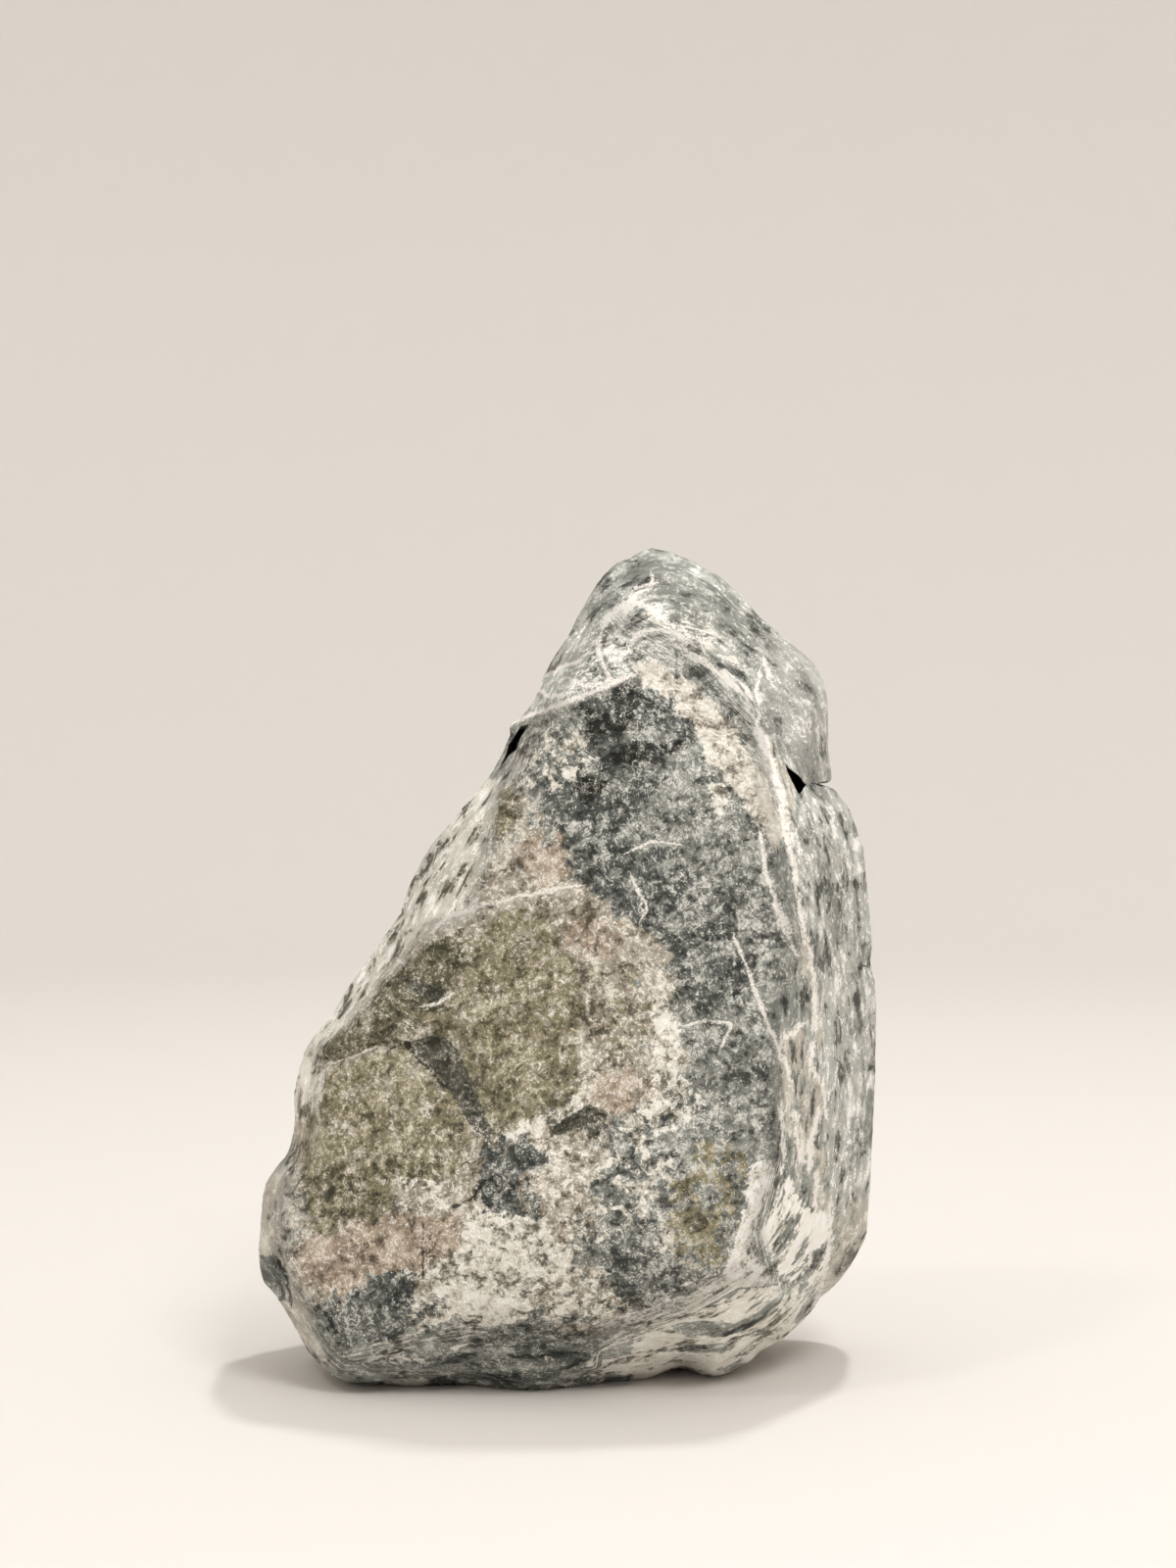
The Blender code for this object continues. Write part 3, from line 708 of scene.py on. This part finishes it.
def fit_outline(points):
    """Moves the rim of the stone so that the camera sees the drawn outline."""
    samples = resampled(OUTLINE, OUTLINE_STEP)
    ahead = np.roll(samples, -2, axis=0) - np.roll(samples, 2, axis=0)
    outward = np.stack([ahead[:, 1], -ahead[:, 0]], axis=1)
    outward /= np.linalg.norm(outward, axis=1)[:, None]
    places, depth = photo_place(points)
    nearest = np.zeros(len(points), dtype=int)
    for block, squares in square_gaps(places, samples):
        nearest[block] = squares.argmin(axis=1)
    proud = ((places - samples[nearest]) * outward[nearest]).sum(axis=1)
    reach = np.full(len(samples), RIM_GONE)
    np.maximum.at(reach, nearest, proud)
    reach = (np.roll(reach, 1) + 2 * reach + np.roll(reach, -1)) / 4
    weight = np.exp(-((np.minimum(proud - reach[nearest], 0) / RIM) ** 2))
    shift = -outward[nearest] * (reach[nearest] * weight)[:, None]
    points = points.copy()
    points[:, 0] += shift[:, 0] * depth / FOCAL
    points[:, 2] -= shift[:, 1] * depth / FOCAL
    return points


def near_details(points):
    """Which points are near a sculpted line or edge, as the camera sees them."""
    places, _ = photo_place(points)
    near = np.zeros(len(points), dtype=bool)
    lines = [row[0] for group in (GROOVES, RIDGES, LEDGES) for row in group.values()]
    lines += [row[0] + row[0][:1] for group in (SCOOPS, CLEFTS) for row in group.values()]
    for line in lines:
        gap, _ = line_gap(places, line)
        near |= gap < DETAIL_REACH
    return near


def refine(skin):
    """Halves the cells near the sculpted details on the front."""
    points = read_points(skin.data)
    facing = facing_eye(points, read_normals(skin.data))
    marked = near_details(points) & (facing > FACING_LEAST)
    mesh = bmesh.new()
    mesh.from_mesh(skin.data)
    faces = [face for face in mesh.faces if any(marked[vertex.index] for vertex in face.verts)]
    edges = list(dict.fromkeys(edge for face in faces for edge in face.edges))
    bmesh.ops.subdivide_edges(mesh, edges=edges, cuts=1, use_grid_fill=True)
    bmesh.ops.triangulate(mesh, faces=[face for face in mesh.faces if len(face.verts) > 4])
    mesh.to_mesh(skin.data)
    mesh.free()


def drawn_relief(points, facing):
    """The height in mm of the lines and areas that are sculpted on the front."""
    places, _ = photo_place(points)
    places = places + wander(points, 5.0, 0.6, 3.0)
    height = np.zeros(len(points))
    for line, depth, width in GROOVES.values():
        gap, _ = line_gap(places, line)
        height -= depth * np.exp(-((gap / width) ** 2))
    for line, rise, width in RIDGES.values():
        gap, _ = line_gap(places, line)
        height += rise * np.exp(-((gap / width) ** 2))
    for line, drop, reach in LEDGES.values():
        gap, right = line_gap(places, line)
        height -= drop * smooth(right * gap, -0.3, 0.9) * np.exp(-gap / reach)
    for outline, depth, bank in SCOOPS.values():
        height -= depth * smooth(depth_inside(places, outline), -0.2, bank)
    return height * smooth(facing, 0.02, 0.25)


def chipped(points, size):
    """The height of small faces, each tilted its own way."""
    moves = [rough(points, size, 2, seed) for seed in CHIP_SEEDS]
    bent = points + size * CHIP_BEND * np.stack(moves, 1)
    height = np.zeros(len(points))
    for number, point in enumerate(bent / size):
        middle = noise.voronoi(Vector(point))[1][0]
        tilt = noise.cell_vector(middle * TILT_APART)
        away = Vector(point) - middle
        height[number] = (tilt - Vector((0.5, 0.5, 0.5))).dot(away)
    return height


def clear_of_clefts(places):
    """From 0 in and close round the clefts to 1 everywhere else."""
    clear = np.ones(len(places))
    for _, mouth in CLEFTS.values():
        clear = np.minimum(clear, smooth(-depth_inside(places, mouth), 2.0, 6.0))
    return clear


def worn_relief(points):
    """The height in mm of the lumps, hewn faces, ripples and pits all over the stone."""
    lumps = rough(points, LUMPS[0], 2, 1.0) * LUMPS[1]
    hewn = np.array([noise.voronoi(Vector(point / HEWN[0]))[0][0] for point in points])
    hewn = (hewn - 0.4) * HEWN[1]
    ripples = rough(points, RIPPLES[0], 3, 7.0) * RIPPLES[1]
    pits = -PITS[1] * smooth(rough(points, PITS[0], 2, 12.0), 0.55, 0.95)
    return lumps + hewn + ripples + pits


def sculpt(skin):
    """Gives the skin its worn surface and the drawn details."""
    points = read_points(skin.data)
    normals = read_normals(skin.data)
    facing = facing_eye(points, normals)
    places, _ = photo_place(points)
    size, strength = CHIPS
    height = worn_relief(points) + drawn_relief(points, facing)
    height = height + strength * chipped(points, size) * clear_of_clefts(places)
    resting = points[:, 2] < RESTING
    height[resting] = 0
    points = points + normals * height[:, None]
    points[~resting] = fit_outline(points)[~resting]
    points[:, 2] = np.maximum(points[:, 2], 0)
    write_points(skin.data, points)


def cleft_cutter(name, outline):
    """A ragged, tapering prism along the sight lines, which cuts a cleft."""
    near, far = CLEFT_DEPTH[name]
    ring = resampled(outline, CUT_SIDE, math.floor)
    middle = ring.mean(axis=0)
    points = []
    for y in np.linspace(near, far, CUT_RINGS):
        size = 1.0 if y < TAPER_FROM else 1 - TAPER * ((y - TAPER_FROM) / (far - TAPER_FROM)) ** 1.5
        if name == "right_notch":
            size *= 0.8 + 0.6 * noise.noise(Vector((y / 9.0, 0.0, 5.0)))
        for place in ring:
            at = sight(middle + (place - middle) * size, y)
            jag = noise.noise_vector(Vector(at / JAG[0])) * JAG[1]
            points.append(at + np.array([jag[0], 0, jag[2]]))
    count = len(ring)
    mesh = bmesh.new()
    vertices = [mesh.verts.new(Vector(point * MM)) for point in points]
    for first in range(0, len(vertices) - count, count):
        for here in range(count):
            there = (here + 1) % count
            mesh.faces.new([vertices[first + here], vertices[first + there],
                            vertices[first + count + there], vertices[first + count + here]])
    mesh.faces.new(vertices[:count][::-1])
    mesh.faces.new(vertices[-count:])
    bmesh.ops.recalc_face_normals(mesh, faces=mesh.faces[:])
    bmesh.ops.triangulate(mesh, faces=mesh.faces[:])
    return built_object(name, mesh)


def cut_clefts(skin):
    """Cuts the clefts into the skin, one after the other."""
    for name, (outline, _) in CLEFTS.items():
        cutter = cleft_cutter(name, outline)
        cut = skin.modifiers.new(name, "BOOLEAN")
        cut.operation = "DIFFERENCE"
        cut.solver = "EXACT"
        cut.object = cutter
        bpy.context.view_layer.update()
        whole = bpy.data.meshes.new_from_object(
            skin.evaluated_get(bpy.context.evaluated_depsgraph_get()))
        skin.modifiers.clear()
        old = skin.data
        skin.data = whole
        bpy.data.meshes.remove(old)
        bpy.data.objects.remove(cutter)


def linear(code):
    """A colour code of the photograph as the stone's own colour, without the light's tint."""
    parts = np.array([int(code[place:place + 2], 16) for place in (1, 3, 5)]) / 255
    parts = np.where(parts <= 0.04045, parts / 12.92, ((parts + 0.055) / 1.055) ** 2.4)
    return np.minimum(parts * TINT, 0.93)


def rock_shares(points, facing):
    """How much of each rock is on top at each point, over the rocks before it."""
    places, _ = photo_place(points)
    stray = wander(points, 15.0, 4.0, 5.0) + wander(points, 5.0, 1.8, 9.0)
    front = smooth(facing, -0.45, -0.1)
    shares = {rock: np.zeros(len(points)) for rock in ROCKS}
    shares["grey"] += 1
    layers = []
    for rock, size, low, high, seed in BACK_PATCHES:
        patches = smooth(rough(points, size, 3, seed), low, high)
        layers.append((rock, patches * (1 - front) * BACK_SHARE))
    for rock, share, fade, outline in AREAS.values():
        inside = depth_inside(places + stray * min(1, fade / 10), outline)
        layers.append((rock, smooth(inside, -fade / 2, fade / 2) * front * share))
    for rock, weight in layers:
        for other in shares:
            shares[other] *= 1 - weight
        shares[rock] += weight
    return shares


def over_the_rest(shares):
    """Each rock's share among itself and the rocks before it."""
    total = np.zeros(len(shares["grey"]))
    over = {}
    for rock, share in shares.items():
        total = total + share
        over[rock] = share / np.maximum(total, 1e-6)
    return over


def drawn_lines(points, facing, lines):
    """Where the nearest line runs: how many half widths away, by side, and whether it is near."""
    places, _ = photo_place(points)
    places = places + wander(points, 4.0, 0.6, 15.0) + wander(points, 1.5, 0.25, 25.0)
    away = np.full(len(points), LINE_FAR)
    nearest = np.full(len(points), LINE_FAR)
    for line, half_width in lines.values():
        gap, right = line_gap(places, line)
        nearer = gap < nearest
        away = np.where(nearer, right * gap / half_width, away)
        nearest = np.where(nearer, gap, nearest)
    near = (1 - smooth(nearest, 1.4, 2.6)) * smooth(facing, -0.1, 0.1)
    return np.clip(away, -LINE_FAR, LINE_FAR), near


def grain_places(points, facing):
    """Where the grain runs: places that change fast across its streaks and slowly along them."""
    places, _ = photo_place(points)
    eased = resampled(OUTLINE, STREAK_STEP)
    for _ in range(EASINGS):
        eased = (np.roll(eased, 1, axis=0) + 2 * eased + np.roll(eased, -1, axis=0)) / 4
    near = np.zeros(len(points))
    for block, squares in square_gaps(places, eased):
        gap = np.sqrt(squares) * PIXEL
        near[block] = -ROUNDING * np.log(np.exp(-gap / ROUNDING).sum(axis=1))
    slow = points / GRAIN_STRETCH
    before = np.stack([near, slow[:, 0], slow[:, 2]], axis=1)
    turn = np.arctan2(points[:, 0] - CORE[0], points[:, 1] - CORE[1]) * GIRTH
    behind = np.stack([turn, slow[:, 2], slow[:, 0] + slow[:, 1]], axis=1)
    return np.where((facing > 0)[:, None], before, behind)


def streak_shares(points, facing):
    """How far the grain is drawn out into streaks, from 0 to 1."""
    places, _ = photo_place(points)
    gap, _ = line_gap(places, OUTLINE + OUTLINE[:1])
    streak = 1 - smooth(gap, STREAK_FULL, STREAK_GONE)
    for weight, fade, outline in STREAKED.values():
        inside = smooth(depth_inside(places, outline), -fade / 2, fade / 2)
        streak = np.maximum(streak, weight * inside)
    return np.where(facing > 0, streak, STREAK_BEHIND)


def bulge(skin, points, normals):
    """How far each point stands out from its neighbourhood, in mm."""
    pairs = read_edges(skin.data)
    level = points
    for _ in range(6):
        level = evened(level, pairs, 0.7, np.ones(len(points), dtype=bool))
    return ((points - level) * normals).sum(axis=1)


def add_values(mesh, name, values):
    """Stores a number or a place at each point of the mesh."""
    kind, field = ("FLOAT", "value") if values.ndim == 1 else ("FLOAT_VECTOR", "vector")
    layer = mesh.attributes.new(name, kind, "POINT")
    layer.data.foreach_set(field, values.astype(np.float32).ravel())


def paint(skin):
    """Stores the rocks, lines, how far the skin stands out, and run of the grain on the skin."""
    points = read_points(skin.data)
    normals = read_normals(skin.data)
    facing = facing_eye(points, normals)
    for rock, over in over_the_rest(rock_shares(points, facing)).items():
        add_values(skin.data, rock, over)
    cracks = {name: (line, width / 2) for name, (line, depth, width) in GROOVES.items()
              if depth > CRACK_DEPTH}
    for name, lines in (("vein_and_highlight", VEINS_AND_HIGHLIGHTS), ("more_vein", MORE_VEINS), ("crack", cracks)):
        away, near = drawn_lines(points, facing, lines)
        add_values(skin.data, name, away)
        add_values(skin.data, name + "_near", near)
    add_values(skin.data, "streak", streak_shares(points, facing))
    add_values(skin.data, "grain", grain_places(points, facing))
    # How far the skin stands out, which makes the rock lighter on bulges and darker in hollows
    add_values(skin.data, "bulge_tone", np.clip(bulge(skin, points, normals), -1, 1))


class Shades:
    """Adds nodes to a material and joins them up."""

    def __init__(self, material):
        self.tree = material.node_tree

    def add(self, kind, out=0, settings=None, **values):
        """One output of a new node, whose inputs are named, or numbered as in i0, i1 and i2."""
        node = self.tree.nodes.new("ShaderNode" + kind)
        for name, value in (settings or {}).items():
            setattr(node, name, value)
        for name, value in values.items():
            by_place = name[0] == "i" and name[1:].isdigit()
            socket = node.inputs[int(name[1:]) if by_place else name.replace("_", " ")]
            if isinstance(value, bpy.types.NodeSocket):
                self.tree.links.new(value, socket)
            else:
                socket.default_value = value
        return node.outputs[out]

    def attribute(self, name, out="Fac"):
        return self.add("Attribute", out, {"attribute_name": name})

    def maths(self, operation, *values):
        inputs = {f"i{place}": value for place, value in enumerate(values)}
        return self.add("Math", 0, {"operation": operation}, **inputs)

    def noise(self, vector, scale, detail, roughness, distortion=0.0):
        return self.add("TexNoise", 0, Vector=vector, Scale=scale, Detail=detail,
                        Roughness=roughness, Distortion=distortion)

    def spread(self, value, low, high, first=0.0, last=1.0):
        """Maps a range of values onto another, held at its ends."""
        return self.add("MapRange", 0, {"clamp": True}, Value=value, From_Min=low,
                        From_Max=high, To_Min=first, To_Max=last)

    def blend(self, share, first, second):
        """Goes from the first colour to the second."""
        return self.add("Mix", 2, {"data_type": "RGBA", "clamp_factor": True},
                        i0=share, i6=first, i7=second)

    def between(self, share, first, second):
        """Goes from the first number to the second."""
        return self.add("Mix", 0, {"data_type": "FLOAT"}, i0=share, i2=first, i3=second)

    def between_places(self, share, first, second):
        """Goes from the first place to the second."""
        return self.add("Mix", 1, {"data_type": "VECTOR"}, i0=share, i4=first, i5=second)


def standard(shades, value, spread):
    """Evens out a noise whose values spread round 0.5, so that its mean is 0."""
    return shades.maths("MULTIPLY", shades.maths("SUBTRACT", value, 0.5), 1 / spread)


def fibres(shades, spot, turn):
    """Short fibres that lie the way they are turned."""
    turned = shades.add("VectorRotate", 0, {"rotation_type": "EULER_XYZ"}, Vector=spot, Rotation=turn)
    wide, long = FIBRE
    drawn = shades.add("VectorMath", 0, {"operation": "MULTIPLY"}, i0=turned,
                       i1=(1 / wide, 1 / long, 1 / wide))
    return shades.noise(drawn, 1.0, 1, 0.5, 0.4)


def felt(shades, spot):
    """Fibres whose direction changes from cell to cell, two ways in each."""
    stray = shades.add("TexNoise", 1, Vector=spot, Scale=1.2 / FELT, Detail=0.0)
    moved = shades.add("VectorMath", 0, {"operation": "MULTIPLY_ADD"}, i0=stray,
                       i1=(FELT, FELT, FELT), i2=spot)
    turn = shades.add("TexVoronoi", 1, Vector=moved, Scale=1 / FELT)
    one = shades.add("VectorMath", 0, {"operation": "SCALE"}, i0=turn, Scale=math.tau)
    other = shades.add("VectorMath", 0, {"operation": "SCALE"}, i0=turn, Scale=-2 * math.tau)
    both = shades.maths("MAXIMUM", fibres(shades, spot, one), fibres(shades, spot, other))
    return shades.maths("SUBTRACT", both, FELT_LIFT)


def broken(shades, spot):
    """Small broken faces with uneven edges, each with a tone of its own."""
    stray = shades.add("TexNoise", 1, Vector=spot, Scale=1 / FACE, Detail=3.0, Roughness=0.6)
    moved = shades.add("VectorMath", 0, {"operation": "MULTIPLY_ADD"}, i0=stray,
                       i1=(FACE, FACE, FACE), i2=spot)
    turned = shades.add("VectorRotate", 0, {"rotation_type": "EULER_XYZ"}, Vector=moved,
                        Rotation=FACE_TURN)
    cells = shades.add("VectorMath", 0, {"operation": "MULTIPLY"}, i0=turned, i1=FACE_STRETCH)
    tone = shades.add("TexVoronoi", 1, Vector=cells, Scale=1 / FACE)
    return shades.add("SeparateColor", 0, Color=tone)


def threads(shades, spot, size):
    """Thin curly white threads that come and go."""
    curl = shades.noise(spot, 1 / size, 2, 0.5, 1.8)
    line = shades.maths("ABSOLUTE", shades.maths("SUBTRACT", curl, 0.5))
    return shades.spread(line, *THREAD_EDGE, 1.0, 0.0)


def line_mask(shades, name, uneven):
    """A crisp line with uneven edges, along the drawn lines of a set."""
    away = shades.maths("ABSOLUTE", shades.attribute(name))
    away = shades.maths("MULTIPLY_ADD", uneven, 0.45, away)
    return shades.maths("MULTIPLY", shades.spread(away, 1.3, 0.7), shades.attribute(name + "_near"))


def body_tone(shades, spot, grain, streak, blotch, crumb):
    """How light the rock's body is: broken faces, or bands where it is streaked, lighter where the skin
    stands out and darker in its hollows.
    """
    band = standard(shades, shades.noise(grain, 1 / BAND, 4, 0.62, 0.5), 0.066)
    face = standard(shades, broken(shades, spot), 0.29)
    loose = shades.maths("MULTIPLY", crumb, 0.5)
    loose = shades.maths("MULTIPLY_ADD", face, 0.55, loose)
    body = shades.between(streak, loose, shades.maths("MULTIPLY", band, 0.85))
    body = shades.maths("MULTIPLY_ADD", blotch, 0.4, body)
    # Lighter where the skin stands out, darker in its hollows
    return shades.maths("MULTIPLY_ADD", shades.attribute("bulge_tone"), 1.2, body)


def hair_tone(shades, spot, grain, streak, blotch, crumb, body):
    """How much the pale hairs come out: matted, or drawn out where the rock is streaked."""
    fine = standard(shades, shades.noise(spot, 1 / GRAIN, 1, 0.5), 0.09)
    thin = standard(shades, shades.noise(grain, 1 / GRAIN, 2, 0.6, 0.3), 0.08)
    matted = standard(shades, felt(shades, spot), 0.075)
    loose = shades.maths("MULTIPLY", matted, 0.8)
    drawn = shades.maths("MULTIPLY_ADD", thin, 0.6, shades.maths("MULTIPLY", matted, 0.4))
    hair = shades.between(streak, loose, drawn)
    for part, share in ((fine, 0.2), (crumb, 0.25), (body, 0.35), (blotch, 0.2)):
        hair = shades.maths("MULTIPLY_ADD", part, share, hair)
    return hair


def rock_colours(shades, ragged_spot):
    """The dark, ground and pale colours of the rock on top, which meets the others raggedly."""
    ragged = shades.add("TexNoise", 1, Vector=ragged_spot, Scale=1 / RAGGED, Detail=5.0,
                        Roughness=0.64, Distortion=0.4)
    ragged = [shades.add("SeparateColor", channel, Color=ragged) for channel in range(3)]
    ragged = [shades.spread(channel, 0.415, 0.585, 0.08, 0.92) for channel in ragged]
    colours = None
    for number, (rock, codes) in enumerate(ROCKS.items()):
        own = [tuple(linear(code)) + (1.0,) for code in codes]
        if colours is None:
            colours = own
            continue
        won = shades.maths("SUBTRACT", shades.attribute(rock), ragged[number % 3])
        won = shades.spread(won, -0.06, 0.06)
        colours = [shades.blend(won, under, over) for under, over in zip(colours, own)]
    return colours


def white_lines(shades, spot, blotch, crumb, hair):
    """Where white threads and veins, with the painted highlights along two ridges, lie on the rock."""
    here = shades.maths("MULTIPLY", shades.spread(blotch, -1.0, 0.3), shades.spread(crumb, -0.6, 0.6))
    thread = shades.maths("MAXIMUM", *[threads(shades, spot, size) for size in THREADS])
    thread = shades.maths("MULTIPLY", shades.maths("MULTIPLY", thread, here), 0.85)
    vein_and_highlight = shades.maths("MAXIMUM", *[line_mask(shades, name, crumb) for name in ("vein_and_highlight", "more_vein")])
    vein_and_highlight = shades.maths("MULTIPLY", vein_and_highlight, shades.spread(hair, -1.4, 0.0, 0.5))
    return shades.maths("MAXIMUM", thread, vein_and_highlight)


def stone_material():
    """Fibrous, flecked rocks that meet in ragged edges, with white lines and dark cracks."""
    material = bpy.data.materials.new("river_stone")
    material.use_nodes = True
    shader = material.node_tree.nodes["Principled BSDF"]
    shades = Shades(material)
    spot = shades.add("TexCoord", 3)
    spot = shades.add("VectorMath", 0, {"operation": "SCALE"}, i0=spot, Scale=1 / MM)
    grain = shades.attribute("grain", "Vector")
    streak = shades.attribute("streak")
    ragged_spot = shades.between_places(streak, spot, grain)
    blotch = standard(shades, shades.noise(spot, 1 / BLOTCH, 3, 0.62, 0.4), 0.072)
    crumb = standard(shades, shades.noise(spot, 1 / CRUMB, 3, 0.66, 0.5), 0.066)
    body = body_tone(shades, spot, grain, streak, blotch, crumb)
    hair = hair_tone(shades, spot, grain, streak, blotch, crumb, body)
    dark, ground, pale = rock_colours(shades, ragged_spot)

    ramp = shades.between(streak, shades.spread(body, -1.5, 0.5), shades.spread(body, -1.3, -0.5))
    deep = shades.spread(shades.maths("ADD", body, hair), -3.2, -1.8, 0.6, 0.0)
    crack = shades.maths("MULTIPLY", line_mask(shades, "crack", crumb), 0.8)
    colour = shades.blend(ramp, dark, ground)
    for share, over in (
            (shades.spread(body, 0.4, 2.0, 0.0, 0.4), pale),
            (shades.spread(hair, 0.9, 1.4), pale),
            (deep, DEEPEST),
            (shades.spread(hair, 1.9, 2.8, 0.0, 0.45), BRIGHTEST),
            (white_lines(shades, spot, blotch, crumb, hair), LINE_WHITE),
            (crack, CRACK_DARK)):
        colour = shades.blend(share, colour, over)
    relief = standard(shades, shades.noise(ragged_spot, 1 / RELIEF, 2, 0.7), 0.078)
    finish = {
        "Base Color": colour,
        "Normal": shades.add("Bump", 0, Strength=0.6, Distance=0.00015, Height=relief),
        "Roughness": shades.spread(hair, -2, 2, 0.92, 0.7),
    }
    for name, value in finish.items():
        material.node_tree.links.new(value, shader.inputs[name])
    shader.inputs["Specular IOR Level"].default_value = 0.3
    return material


def make_skin():
    """The stone's whole outer skin."""
    rays, faces = ball_cage(CELLS)
    points = wrapped(rays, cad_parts["river_stone"])
    resting = points[:, 2] < ON_FLOOR
    skin = mesh_object("stone_skin", points, faces)
    pairs = read_edges(skin.data)
    points = fill_clefts(points, pairs)
    for _ in range(EASE_TIMES):
        points = evened(points, pairs, EASE, ~resting)
        points = evened(points, pairs, EASE_BACK, ~resting)
    for _ in range(FIT_TIMES):
        points = fit_outline(points)
    points[:, 2] = np.maximum(points[:, 2], 0)
    write_points(skin.data, points)
    refine(skin)
    sculpt(skin)
    cut_clefts(skin)
    skin.data.shade_smooth()
    paint(skin)
    skin.data.materials.clear()
    skin.data.materials.append(stone_material())
    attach(skin, "root")
    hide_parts("river_stone")


def make_camera():
    """The camera at the photograph's place and viewing angle."""
    data = bpy.data.cameras.new("camera")
    data.sensor_width = SENSOR
    data.lens = FOCAL / PHOTO_HEIGHT * SENSOR
    data.clip_start = 0.01
    camera = new_object("camera", data)
    camera.location = EYE * MM
    camera.rotation_euler = (math.pi / 2 - LOOKS_DOWN, 0, 0)
    bpy.context.scene.camera = camera


def make_floor():
    """A pale floor that curves up into a pale wall, far out on all sides."""
    profile = [(FLAT * share, 0.0) for share in (0.25, 0.5, 0.75, 1.0)]
    for turn in np.linspace(0, math.pi / 2, 13)[1:]:
        profile.append((FLAT + BEND * math.sin(turn), BEND * (1 - math.cos(turn))))
    profile.append((FLAT + BEND, WALL))
    mesh = bmesh.new()
    rings = []
    for radius, height in profile:
        rings.append([mesh.verts.new((radius * math.cos(turn), radius * math.sin(turn), height))
                      for turn in np.linspace(0, math.tau, SIDES, endpoint=False)])
    middle = mesh.verts.new((0, 0, 0))
    for here in range(SIDES):
        there = (here + 1) % SIDES
        mesh.faces.new([middle, rings[0][here], rings[0][there]])
        for inner, outer in zip(rings[:-1], rings[1:]):
            mesh.faces.new([inner[here], outer[here], outer[there], inner[there]])
    floor = built_object("floor", mesh)
    floor.data.shade_smooth()
    material = bpy.data.materials.new("floor")
    material.use_nodes = True
    shader = material.node_tree.nodes["Principled BSDF"]
    shader.inputs["Base Color"].default_value = FLOOR_PALE
    shader.inputs["Roughness"].default_value = 0.9
    shader.inputs["Specular IOR Level"].default_value = 0.1
    floor.data.materials.append(material)


def make_light(name, place, size, power):
    """One soft square light that shines at the stone."""
    data = bpy.data.lights.new(name, "AREA")
    data.size = size
    data.energy = power
    light = new_object(name, data)
    light.location = place
    light.rotation_euler = Vector(place).to_track_quat("Z", "Y").to_euler()


def make_lights():
    """Soft studio light from above, and an even pale surround."""
    world = bpy.data.worlds.new("surround")
    world.use_nodes = True
    background = world.node_tree.nodes["Background"]
    background.inputs["Color"].default_value = (1.0, 0.985, 0.965, 1)
    background.inputs["Strength"].default_value = 0.97
    bpy.context.scene.world = world
    make_light("left_light", (-1.0, -1.1, 2.0), 0.2, 5)
    make_light("right_light", (0.42, 0.62, 2.1), 0.16, 16)
    make_light("front_light", (0.6, -1.35, 1.6), 0.6, 16)
    bpy.context.scene.view_settings.view_transform = "Standard"


make_camera()
make_floor()
make_lights()
make_skin()
